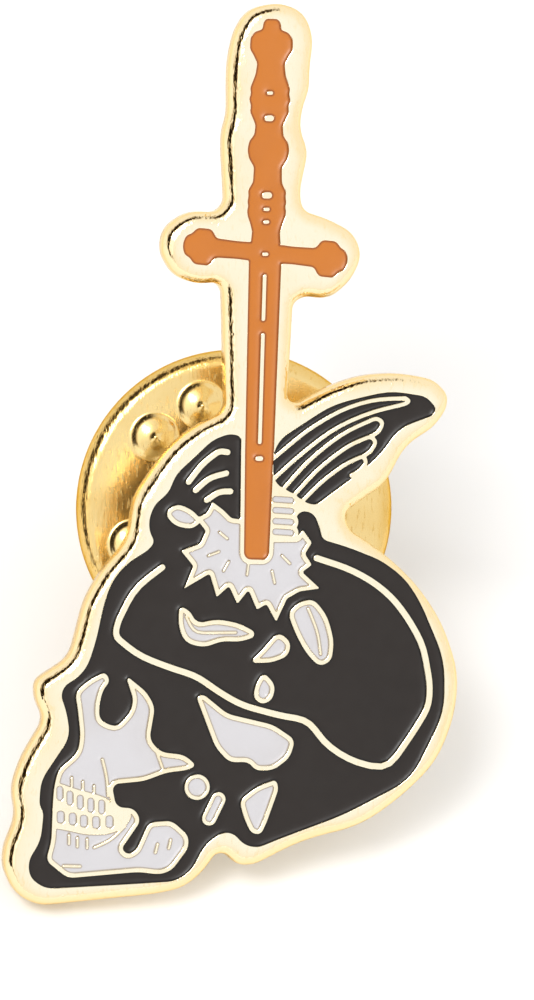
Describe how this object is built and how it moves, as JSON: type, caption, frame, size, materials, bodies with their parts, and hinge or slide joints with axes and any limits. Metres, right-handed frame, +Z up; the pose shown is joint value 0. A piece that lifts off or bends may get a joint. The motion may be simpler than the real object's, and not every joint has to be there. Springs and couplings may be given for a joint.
{
  "type": "enamel pin",
  "caption": "Soft-enamel lapel pin with a sword, skull and wing motif on a struck gold plate, a pointed post and a butterfly clutch that slides, turns and releases.",
  "frame": {"origin": "root of the post: the centre of the post on the plane of the plate's back face", "axes": "+Y out of the back along the post, +Z up the sword as worn, +X to the right seen from the front; the enamelled face looks along -Y"},
  "size_m": [0.0163, 0.011, 0.0321],
  "materials": {
    "plate_gold": "polished pale gold plating",
    "post_gold": "plated",
    "weld": "plated solder",
    "clutch_gold": "brushed gold plating",
    "spring_wire": "plated spring wire",
    "black_enamel": "recessed soft enamel",
    "white_enamel": "recessed soft enamel",
    "orange_enamel": "recessed soft enamel"
  },
  "bodies": {
    "pin": {"base_plate": "plate_gold", "post": "post_gold", "post_weld": "weld", "enamel_skull_ground": "black_enamel", "enamel_wing_field": "black_enamel", "enamel_wing_feathers": "black_enamel", "enamel_sword": "orange_enamel", "enamel_burst": "white_enamel", "enamel_cheek": "white_enamel", "enamel_covert_bars": "white_enamel", "enamel_ear_cells": "white_enamel", "enamel_face": "white_enamel", "enamel_jaw": "white_enamel", "enamel_lower_teeth": "white_enamel", "enamel_plumes": "white_enamel", "enamel_temple": "white_enamel", "enamel_tuft": "white_enamel", "enamel_upper_teeth": "white_enamel"},
    "collar": {"clutch_eyelet": "clutch_gold"},
    "clutch": {"clutch_disc": "clutch_gold", "clutch_housing": "clutch_gold", "clutch_spring": "spring_wire"},
    "upper_wing": {"clutch_wing_upper": "clutch_gold"},
    "lower_wing": {"clutch_wing_lower": "clutch_gold"}
  },
  "joints": [
    {"name": "clutch_slide", "type": "slide", "parent": "pin", "child": "collar", "axis": [0, 1, 0], "range_m": [0, 0.01]},
    {"name": "clutch_turn", "type": "hinge", "parent": "collar", "child": "clutch", "pos_m": [0, 0, 0], "axis": [0, 1, 0], "continuous": true},
    {"name": "upper_wing_squeeze", "type": "hinge", "parent": "clutch", "child": "upper_wing", "pos_m": [0, 0.00442, 0.00295], "axis": [-1, 0, 0], "range_deg": [0, 12], "stiffness_Nm_per_rad": 0.0002, "deforming": ["clutch_spring"]},
    {"name": "lower_wing_squeeze", "type": "hinge", "parent": "clutch", "child": "lower_wing", "pos_m": [0, 0.00442, -0.00295], "axis": [1, 0, 0], "range_deg": [0, 12], "stiffness_Nm_per_rad": 0.0002, "deforming": ["clutch_spring"]}
  ],
  "couplings": [
    {"joint": "lower_wing_squeeze", "follows": "upper_wing_squeeze", "ratio": 1}
  ]
}
